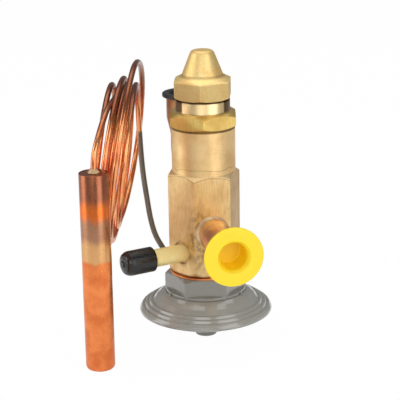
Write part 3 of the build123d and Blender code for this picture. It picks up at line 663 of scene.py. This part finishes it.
def drilled(blank, tools):
    """Takes the tool shapes out of the blank."""
    work = to_object("blank", blank)
    cutters = []
    for number, tool in enumerate(tools):
        cutter = to_object(f"cutter_{number}", tool)
        cut = work.modifiers.new(f"cut_{number}", "BOOLEAN")
        cut.operation = "DIFFERENCE"
        cut.solver = "EXACT"
        cut.object = cutter
        cutters.append(cutter)
    bpy.context.view_layer.update()
    cut_mesh = bpy.data.meshes.new_from_object(work.evaluated_get(bpy.context.evaluated_depsgraph_get()))
    bm = bmesh.new()
    bm.from_mesh(cut_mesh)
    bmesh.ops.scale(bm, vec=(1 / TO_METRES,) * 3, verts=bm.verts)
    bpy.data.meshes.remove(cut_mesh)
    for item in [work, *cutters]:
        mesh = item.data
        bpy.data.objects.remove(item)
        bpy.data.meshes.remove(mesh)
    return bm


def moved(bm, matrix):
    bmesh.ops.transform(bm, matrix=matrix, verts=bm.verts)
    return bm


def rod(radius, low, high, direction, origin):
    """A plain cylinder along a direction, as a cutting tool."""
    bm = turned([(0, low), (radius, low), (radius, high), (0, high)], ease=0, steps=64)
    return moved(bm, along(direction, origin))


def joined(*parts):
    """Puts several shapes in one mesh."""
    whole = bmesh.new()
    for part in parts:
        held = bpy.data.meshes.new("held")
        part.to_mesh(held)
        part.free()
        whole.from_mesh(held)
        bpy.data.meshes.remove(held)
    return whole


def dress(name, bm, body, material, nodes):
    """Makes the finished piece of a millimetre mesh, on its body and in place of its nodes."""
    made = to_object(name, bm)
    made.data.shade_smooth()
    made.data.set_sharp_from_angle(angle=radians(CREASE))
    made.data.materials.append(material)
    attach(made, body)
    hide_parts(*nodes)
    return made


# ---- finishes used by the pieces ---------------------------------------------------------------------

BODY_BRASS = brass(
    "body_brass", colour(240, 206, 148), colour(226, 188, 130), colour(112, 76, 34), 0.42, 0.85,
    stains_and_shade=body_stains_and_shade, wear=0.2, painted_highlight=chamfer_highlight, drawn_to=HEX_TOP,
)
CAP_BRASS = brass(
    "cap_brass", colour(255, 226, 154), colour(248, 208, 134), colour(110, 74, 36), 0.45, 0.8,
    brushed=(1, 1, 0.7), stains_and_shade=cap_painted_shade, wear=0.16,
)
NUT_BRASS = brass(
    "nut_brass", colour(240, 206, 120), colour(218, 178, 96), colour(84, 54, 22), 0.34, stains_and_shade=nut_painted_shade,
    painted_highlight=neck_highlight,
)
ENAMEL = enamel()
TUBE_COPPER = copper("tube_copper", colour(255, 220, 150), colour(250, 188, 122), colour(220, 156, 110), 0.32)
BULB_COPPER = copper(
    "bulb_copper", colour(248, 146, 84), colour(226, 122, 66), colour(150, 100, 80), 0.24, bulb_bands
)
RING_COPPER = copper("ring_copper", colour(246, 168, 108), colour(224, 140, 86), colour(180, 110, 70))
OUTLET_METAL = copper("outlet_copper", colour(176, 128, 88), colour(150, 96, 66), colour(170, 140, 96))
EQUALIZER_BRASS = brass(
    "equalizer_brass", colour(255, 238, 168), colour(254, 224, 148), colour(190, 146, 84), 0.45, 0.25
)
YELLOW = plug_plastic()
BLACK = plastic("black_plastic", colour(30, 30, 30), colour(38, 38, 38), 0.4)
VINYL = plastic("black_vinyl", colour(5, 5, 5), colour(12, 12, 12), 0.17, 0.00018, 1.55)
SILVER = plain_metal("silver_braze", colour(236, 214, 172), colour(198, 164, 124), 0.5, 0.5)
STEEL = plain_metal("turned_steel", colour(190, 190, 190), colour(160, 160, 160), 0.3)
WIRE = plain_metal("spring_wire", colour(120, 120, 122), colour(90, 90, 92), 0.35)
GRAPHITE = plastic("packing_ring", colour(40, 40, 42), colour(55, 55, 58), 0.6)
CAPILLARY = capillary_finish()

# ---- places of the side tubes ------------------------------------------------------------------------


def level_line(bearing):
    """The level direction at a bearing in degrees from the inlet."""
    return Vector((-sin(radians(bearing)), -cos(radians(bearing)), 0))


UP = Vector((0, 0, 1))
AHEAD = Vector((0, -1, 0))
BEHIND = Vector((0, 1, 0))
EQ_FLAT_LINE = level_line(60)
EQ_LINE = level_line(74)
EQ_FOOT = EQ_FLAT_LINE * BODY_FLAT + UP * EQ_Z

INLET = along(AHEAD, UP * INLET_Z)
OUTLET = along(BEHIND, UP * OUTLET_Z)
LEG = along(UP, BEHIND * OUTLET_LEG)
EQUALIZER = along(EQ_LINE, EQ_FOOT)

# ---- body --------------------------------------------------------------------------------------------


def make_body():
    top_corner = bevelled(BODY_AF, BARREL_R, HEX_TOP, CHAMFER, True)
    foot_corner = bevelled(BODY_AF, FOOT_LAND, BODY_BOTTOM, FOOT_BEVEL, False)
    nut_bore = [(11.2, BODY_TOP), (11.2, 90.5), (9.0, 90.5)]
    seat_bore = [(9.0, 62.0), (5.5, 62.0), (5.5, 58.0), (4.6, 58.0), (4.6, 47.5), (0, 47.5)]
    blank = turned(
        [
            (0, SPIGOT_BOTTOM), (SPIGOT_R, SPIGOT_BOTTOM), (SPIGOT_R, BODY_BOTTOM), (FOOT_LAND, BODY_BOTTOM),
            foot_corner, top_corner, (BARREL_R, HEX_TOP), (BARREL_R, BODY_TOP), *nut_bore, *seat_bore,
        ],
        steps=ROUND_STEPS, rounds={7: 0.4, 6: 0.3},
    )
    mill_flats(blank, BODY_AF, 0)
    wear_corners(blank, 0.35)
    past_flat = BODY_FLAT + 2
    below_spigot = SPIGOT_BOTTOM - 1
    bm = drilled(
        blank,
        [
            rod(INLET_NECK_R + TUBE_FIT, BODY_FLAT - INLET_DEPTH, past_flat, AHEAD, UP * INLET_Z),
            rod(INLET_PORT_R, 0.5, BODY_FLAT, AHEAD, UP * INLET_Z),
            rod(OUTLET_NECK_R + TUBE_FIT, BODY_FLAT - OUTLET_DEPTH, past_flat, BEHIND, UP * OUTLET_Z),
            rod(OUTLET_PORT_R, 4.5, BODY_FLAT, BEHIND, UP * OUTLET_Z),
            rod(EQ_SPOT_R, BODY_FLAT - EQ_SPOT_DEPTH, past_flat, EQ_FLAT_LINE, UP * EQ_Z),
            rod(EQ_R + TUBE_FIT, -EQ_DEPTH, 3.0, EQ_LINE, EQ_FOOT),
            rod(EQ_PORT_R, -8.0, -3.0, EQ_LINE, EQ_FOOT),
            rod(PUSH_ROD_HOLE_R, below_spigot, 63, UP, (-PUSH_ROD_OUT, 0, 0)),
            rod(PUSH_ROD_HOLE_R, below_spigot, 63, UP, (PUSH_ROD_OUT, 0, 0)),
        ],
    )
    bmesh.ops.remove_doubles(bm, verts=bm.verts, dist=0.001)
    dress("valve_body_brass", bm, "valve", BODY_BRASS, ["valve_body"])


def make_seal_nut():
    thread = []
    for number in range(5):
        thread += [(THREAD_R, CAP_BOTTOM + number), (THREAD_ROOT_R, CAP_BOTTOM + 0.5 + number)]
    packing_bore = [(6.0, 116.0), (6.0, 101.5), (2.65, 101.5), (2.65, NUT_FOOT), (8.0, NUT_FOOT)]
    bm = turned(
        [
            (8.0, 91.0), (11.12, 91.0), (11.12, BODY_TOP), (NUT_FOOT_R, BODY_TOP), (NUT_FOOT_R, NUT_FOOT),
            bevelled(BODY_AF, NUT_FOOT_R, NUT_FOOT, NUT_BEVEL, False),
            bevelled(BODY_AF, NUT_LAND, NUT_TOP, NUT_BEVEL, True), (NUT_LAND, NUT_TOP),
            (NECK_R, NUT_TOP), (NECK_R, NECK_TOP), (THREAD_R, NECK_TOP + 0.05), *thread, (8.6, 116.0),
            *packing_bore,
        ],
        closed=True, ease=0.12, steps=ROUND_STEPS,
    )
    mill_flats(bm, BODY_AF, NUT_TURN)
    wear_corners(bm, 0.7)
    dress("seal_nut_brass", bm, "valve", NUT_BRASS, ["seal_nut"])


def make_seal_cap():
    bm = turned(
        [
            (CAP_BORE_R, CAP_BOTTOM), (CAP_FOOT_R, CAP_BOTTOM),
            bevelled(CAP_AF, CAP_FOOT_R, CAP_BOTTOM, NUT_BEVEL, False),
            bevelled(CAP_AF, CAP_CONE_FOOT_R, CAP_HEX_TOP, CAP_BEVEL, True), (CAP_CONE_FOOT_R, CAP_HEX_TOP),
            (CAP_CONE_TOP_R, CAP_TOP), (0, CAP_TOP),
        ],
        steps=ROUND_STEPS, rounds={5: 2.0, 4: 1.6},
    )
    mill_flats(bm, CAP_AF, CAP_TURN)
    wear_corners(bm, 0.8)
    hollow = turned(
        [(CAP_BORE_R, CAP_BOTTOM), (CAP_BORE_R, 116.9), (6.2, 116.9), (6.2, 120.4), (0, 123.5)],
        ease=0, steps=ROUND_STEPS,
    )
    bmesh.ops.reverse_faces(hollow, faces=hollow.faces)
    bm = joined(bm, hollow)
    bmesh.ops.remove_doubles(bm, verts=bm.verts, dist=0.001)
    dress("seal_cap_brass", bm, "cap", CAP_BRASS, ["seal_cap"])


# ---- power element -----------------------------------------------------------------------------------


def make_element():
    bottom = turned(
        [
            (0, 0), (4.95, 0), (4.95, 4.6), (3.0, 4.6), (3.0, 5.6), (1.0, 5.6), (1.0, CAPILLARY_Z),
            (0, CAPILLARY_Z),
        ],
        rounds={1: 0.5}, steps=64,
    )
    dress("boss_painted", bottom, "valve", ENAMEL, ["element_boss"])
    dish = turned(
        [
            (3.0, 4.6), (12.0, 4.6), (29.4, 12.1), (CASE_EDGE_R, 12.7), (CASE_RIM_R, 12.7), (12.0, 5.6),
            (3.0, 5.6),
        ],
        closed=True, rounds={1: 3.0, 2: 0.3, 5: 3.0}, steps=ELEMENT_STEPS,
    )
    dress("lower_case_painted", dish, "valve", ENAMEL, ["lower_case"])
    slope = [(18.4, 21.8), (20.4, 20.7), (22.2, 19.3), (23.4, 18.0), (24.0, 17.3)]
    ridges = [
        (24.6, 17.5), (25.4, 17.45), (25.9, 16.2), (26.5, 16.35), (27.3, 16.25), (27.8, 14.95), (28.3, 15.1),
        (29.1, 14.95), (29.9, 13.8),
    ]
    inside = [(r - CASE_SHEET, z - CASE_SHEET) for r, z in reversed(slope)]
    cover = turned(
        [
            (SPIGOT_FIT_R, ELEMENT_TOP), *slope, *ridges, (CASE_EDGE_R, 13.0), (CASE_RIM_R, 13.0), *inside,
            (SPIGOT_FIT_R, ELEMENT_TOP - CASE_SHEET),
        ],
        closed=True, ease=0.35, steps=ELEMENT_STEPS, rounds={15: 0.1, 16: 0.1},
    )
    dress("upper_case_painted", cover, "valve", ENAMEL, ["upper_case"])
    make_element_nut()
    ring = turned(
        [
            (SPIGOT_FIT_R, ELEMENT_NUT_TOP), (15.9, ELEMENT_NUT_TOP), (15.9, BODY_BOTTOM),
            (SPIGOT_FIT_R, BODY_BOTTOM),
        ],
        closed=True, ease=0.2,
    )
    dress("joint_ring_copper", ring, "valve", RING_COPPER, ["element_gasket"])


def make_element_nut():
    """The nut over the case, with a thin collar under it and a nub of weld against each flat but one."""
    nut = turned(
        [
            (SPIGOT_FIT_R, ELEMENT_TOP), (corner_radius(ELEMENT_NUT_AF), ELEMENT_TOP),
            bevelled(ELEMENT_NUT_AF, ELEMENT_NUT_LAND, ELEMENT_NUT_TOP, NUT_BEVEL, True),
            (ELEMENT_NUT_LAND, ELEMENT_NUT_TOP), (SPIGOT_FIT_R, ELEMENT_NUT_TOP),
        ],
        closed=True, steps=ROUND_STEPS,
    )
    mill_flats(nut, ELEMENT_NUT_AF, ELEMENT_NUT_TURN)
    wear_corners(nut, 0.4)
    collar = turned(
        [(SPIGOT_FIT_R, ELEMENT_TOP), (18.0, ELEMENT_TOP), (18.0, 23.2), (SPIGOT_FIT_R, 23.2)],
        closed=True, ease=0.3, steps=ROUND_STEPS,
    )
    parts = [nut, collar]
    for number in range(1, 6):
        angle = radians(-90 + ELEMENT_NUT_TURN + 60 * number)
        nub = bmesh.new()
        bmesh.ops.create_uvsphere(nub, u_segments=16, v_segments=10, radius=0.75)
        bmesh.ops.translate(nub, vec=(NUB_OUT * cos(angle), NUB_OUT * sin(angle), 22.1), verts=nub.verts)
        parts.append(nub)
    dress("element_nut_painted", joined(*parts), "valve", ENAMEL, ["element_nut"])


# ---- side tubes and their plugs ----------------------------------------------------------------------


def braze_ring(radius):
    """A hollow-faced fillet of braze round a tube, a little uneven."""
    bm = turned(
        [
            (radius, BODY_FLAT), (radius + 1.2, BODY_FLAT), (radius + 0.48, BODY_FLAT + 0.48),
            (radius, BODY_FLAT + 1.2),
        ],
        closed=True, ease=0.05, rounds={2: 0.8},
    )
    for vertex in bm.verts:
        off = Vector((vertex.co.x, vertex.co.y, 0))
        if off.length > radius + 0.1:
            angle = off.angle(Vector((1, 0, 0)))
            vertex.co += off.normalized() * (0.12 * sin(3 * angle) + 0.08 * sin(7 * angle))
    return bm


def shipping_plug(end, socket, flange, mouth, hollow):
    """A flanged push-in plug, hollow from outside, for a socket of that radius inside."""
    barrel = socket - 0.06
    foot, floor, face = end - 10.0, end - 8.8, end + 1.8
    return turned(
        [
            (0, foot), (barrel - 0.25, foot), (barrel, end - 0.25), (barrel, end), (flange, end),
            (flange, face), (mouth, face), (hollow, end + 0.2), (hollow - 0.35, floor), (0, floor),
        ],
        ease=0.25, steps=ROUND_STEPS, rounds={4: 0.4, 5: 0.6, 6: 0.25, 7: 0.5, 8: 0.6},
    )


def make_inlet():
    bore = INLET_NECK_R - TUBE_WALL
    socket = INLET_SOCKET_R - TUBE_WALL
    foot = BODY_FLAT - INLET_DEPTH
    flare_from = BODY_FLAT + 3.6
    flare_to = BODY_FLAT + 5.8
    tube = turned(
        [
            (bore, foot), (INLET_NECK_R, foot), (INLET_NECK_R, flare_from), (INLET_SOCKET_R, flare_to),
            (INLET_SOCKET_R, INLET_END), (socket, INLET_END), (socket, flare_to), (bore, flare_from),
        ],
        closed=True, rounds={2: 2.0, 3: 2.0},
    )
    dress("inlet_tube_copper", moved(tube, INLET), "valve", TUBE_COPPER, ["inlet_tube"])
    ring = braze_ring(INLET_NECK_R)
    dress("inlet_braze_silver", moved(ring, INLET), "valve", SILVER, ["inlet_braze"])
    plug = shipping_plug(INLET_END, socket, 12.9, 7.3, 6.0)
    dress(
        "inlet_plug_yellow", moved(plug, INLET), "inlet_shipping_plug", YELLOW,
        ["inlet_plug"],
    )


def grown(tube, edges, vec):
    """Extrudes a ring of edges along a vector, and gives the new ring's edges and corners."""
    new = bmesh.ops.extrude_edge_only(tube, edges=edges)["geom"]
    verts = [item for item in new if isinstance(item, bmesh.types.BMVert)]
    bmesh.ops.translate(tube, vec=vec, verts=verts)
    return [item for item in new if isinstance(item, bmesh.types.BMEdge)], verts


def make_outlet():
    """A tube bent upward, swept from the body to the bend, round it and up its widening leg."""
    tube = bmesh.new()
    start = bmesh.ops.create_circle(tube, segments=64, radius=OUTLET_NECK_R)
    foot = along(BEHIND, (0, BODY_FLAT - OUTLET_DEPTH, OUTLET_Z))
    bmesh.ops.transform(tube, matrix=foot, verts=start["verts"])
    bend_at = OUTLET_LEG - OUTLET_BEND
    rim, _ = grown(tube, tube.edges[:], (0, bend_at - BODY_FLAT + OUTLET_DEPTH, 0))
    swept = bmesh.ops.spin(
        tube, geom=rim, cent=(0, bend_at, OUTLET_Z + OUTLET_BEND), axis=(1, 0, 0), angle=pi / 2, steps=20,
        use_merge=False, use_duplicate=False,
    )["geom_last"]
    rim = [item for item in swept if isinstance(item, bmesh.types.BMEdge)]
    for radius, height in (
        (OUTLET_NECK_R, 86.5), (7.2, 88.3), (7.8, 90.8), (8.4, 93.3), (OUTLET_SOCKET_R, 95.0),
        (OUTLET_SOCKET_R, OUTLET_TOP),
    ):
        rim, verts = grown(tube, rim, (0, 0, 0))
        for vertex in verts:
            off = Vector((vertex.co.x, vertex.co.y - OUTLET_LEG, 0)).normalized() * radius
            vertex.co = Vector((off.x, off.y + OUTLET_LEG, height))
    bmesh.ops.recalc_face_normals(tube, faces=tube.faces)
    bmesh.ops.solidify(tube, geom=tube.faces[:], thickness=TUBE_WALL)
    bmesh.ops.recalc_face_normals(tube, faces=tube.faces)
    dress("outlet_tube_copper", tube, "valve", OUTLET_METAL, ["outlet_tube"])
    ring = braze_ring(OUTLET_NECK_R)
    dress("outlet_braze_silver", moved(ring, OUTLET), "valve", SILVER, ["outlet_braze"])
    plug = shipping_plug(OUTLET_TOP, OUTLET_SOCKET_R - TUBE_WALL, 10.6, 7.4, 6.6)
    dress(
        "outlet_plug_black", moved(plug, LEG), "outlet_shipping_plug", BLACK,
        ["outlet_plug"],
    )


def make_equalizer():
    stub = turned(
        [(EQ_BORE_R, -EQ_DEPTH), (EQ_R, -EQ_DEPTH), (EQ_R, EQ_END), (EQ_BORE_R, EQ_END)],
        closed=True, steps=72,
    )
    dress(
        "equalizer_tube_brass", moved(stub, EQUALIZER), "valve", EQUALIZER_BRASS,
        ["equalizer_tube"],
    )
    nub_top = EQ_CAP_END + 0.6
    cap = turned(
        [
            (EQ_CAP_BORE_R, EQ_CAP_FROM), (EQ_CAP_R, EQ_CAP_FROM), (EQ_CAP_R, EQ_CAP_END - 2.6),
            (4.5, EQ_CAP_END - 0.6), (2.3, EQ_CAP_END), (1.7, EQ_CAP_END), (1.5, nub_top), (0, nub_top),
            (0, EQ_CAP_FLOOR), (EQ_CAP_BORE_R, EQ_CAP_FLOOR),
        ],
        closed=True, rounds={0: 0.3, 1: 0.4, 2: 3.0, 3: 2.0, 4: 1.0, 5: 0.6, 6: 0.5, 7: 0, 8: 0},
    )
    dress(
        "equalizer_cap_vinyl", moved(cap, EQUALIZER), "equalizer_shipping_cap", VINYL,
        ["equalizer_cap"],
    )


# ---- bulb and capillary ------------------------------------------------------------------------------


def make_bulb():
    stand = Matrix.Translation(from_coil(BULB_ACROSS, BULB_AHEAD, 0))
    wall = BULB_R - 0.001  # so that it stays inside the frame's box
    shell = turned(
        [
            (0, 0), (wall, 0), (wall, BULB_H), (BULB_BORE_R, BULB_H), (BULB_BORE_R, 1.2), (5.2, 0.6),
            (0, 0.6),
        ],
        rounds={1: 1.8, 2: 0.25},
    )
    dress("bulb_shell_copper", moved(shell, stand), "valve", BULB_COPPER, ["bulb_tube"])
    plug_foot = BULB_H - 4
    end = turned(
        [(1.35, plug_foot), (BULB_BORE_R, plug_foot), (BULB_BORE_R, BULB_H - 0.15), (1.35, BULB_H)],
        closed=True, rounds={2: 0.3},
    )
    dress("bulb_end_copper", moved(end, stand), "valve", BULB_COPPER, ["bulb_end_plug"])
    blob = turned(
        [(CAPILLARY_R, BULB_H), (2.7, BULB_H), (1.6, BULB_H + 1.2), (CAPILLARY_R, BULB_H + 2.0)],
        closed=True, rounds={1: 0.3, 2: 0.8}, steps=48,
    )
    dress("bulb_solder_silver", moved(blob, stand), "valve", SILVER, ["bulb_solder"])


def half_turn(start, end, across, reach):
    """Points of half an ellipse from start to just before end, bulging out between them."""
    middle, arm = (start + end) / 2, (start - end) / 2
    bulge = Vector((across, reach, 0))
    angles = (pi * step / COIL_POINTS for step in range(COIL_POINTS))
    return [middle + arm * cos(angle) + bulge * sin(angle) for angle in angles]


def make_capillary():
    tops = [Vector((across, COIL_AHEAD, up)) for across, up in COIL_TOPS]
    feet = [Vector((across, COIL_AHEAD, up)) for across, up in COIL_FEET]
    points = [Vector(point) for point in LEAD]
    for top, foot, next_top, front, back in zip(tops, feet, tops[1:], COIL_FRONTS, COIL_BACKS):
        points += half_turn(top, foot, front[0], front[1])
        points += half_turn(foot, next_top, back[0], -back[1])
    points.append(tops[-1])
    points += [Vector(point) for point in TAIL]
    points.append(Vector((BULB_ACROSS, BULB_AHEAD, BULB_H - 2.7)))
    route = [from_coil(*point) for point in points]
    away = Vector((route[0].x, route[0].y, 0)).normalized()
    route.insert(0, away * 2.55 + Vector((0, 0, CAPILLARY_Z)))
    line = bpy.data.curves.new("capillary_line", "CURVE")
    line.dimensions = "3D"
    line.bevel_depth = CAPILLARY_R * TO_METRES
    line.bevel_resolution = 3
    line.use_fill_caps = True
    line.resolution_u = 8
    run = line.splines.new("NURBS")
    run.points.add(len(route) - 1)
    for place, point in zip(run.points, route):
        place.co = (*(point * TO_METRES), 1.0)
    run.order_u = 3
    run.use_endpoint_u = True
    made = bpy.data.objects.new("capillary_copper", line)
    bpy.context.scene.collection.objects.link(made)
    line.materials.append(CAPILLARY)
    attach(made, "valve")
    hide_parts("capillary_tube")


def dress_inner_nodes():
    """The frame's own inner solids, each with its metal."""
    for material, names in (
        (STEEL, ("diaphragm", "buffer_plate", "valve_seat", "valve_pin", "push_rod_1", "push_rod_2")),
        (NUT_BRASS, ("pin_carrier", "spring_guide", "adjusting_stem", "packing_gland")),
        (WIRE, ("superheat_spring",)),
        (GRAPHITE, ("stem_packing",)),
        (RING_COPPER, ("seal_cap_gasket",)),
    ):
        for name in names:
            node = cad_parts[name]
            for spare in node.material_slots:
                spare.material = material


make_body()
make_seal_nut()
make_seal_cap()
make_element()
make_inlet()
make_outlet()
make_equalizer()
make_bulb()
make_capillary()
dress_inner_nodes()
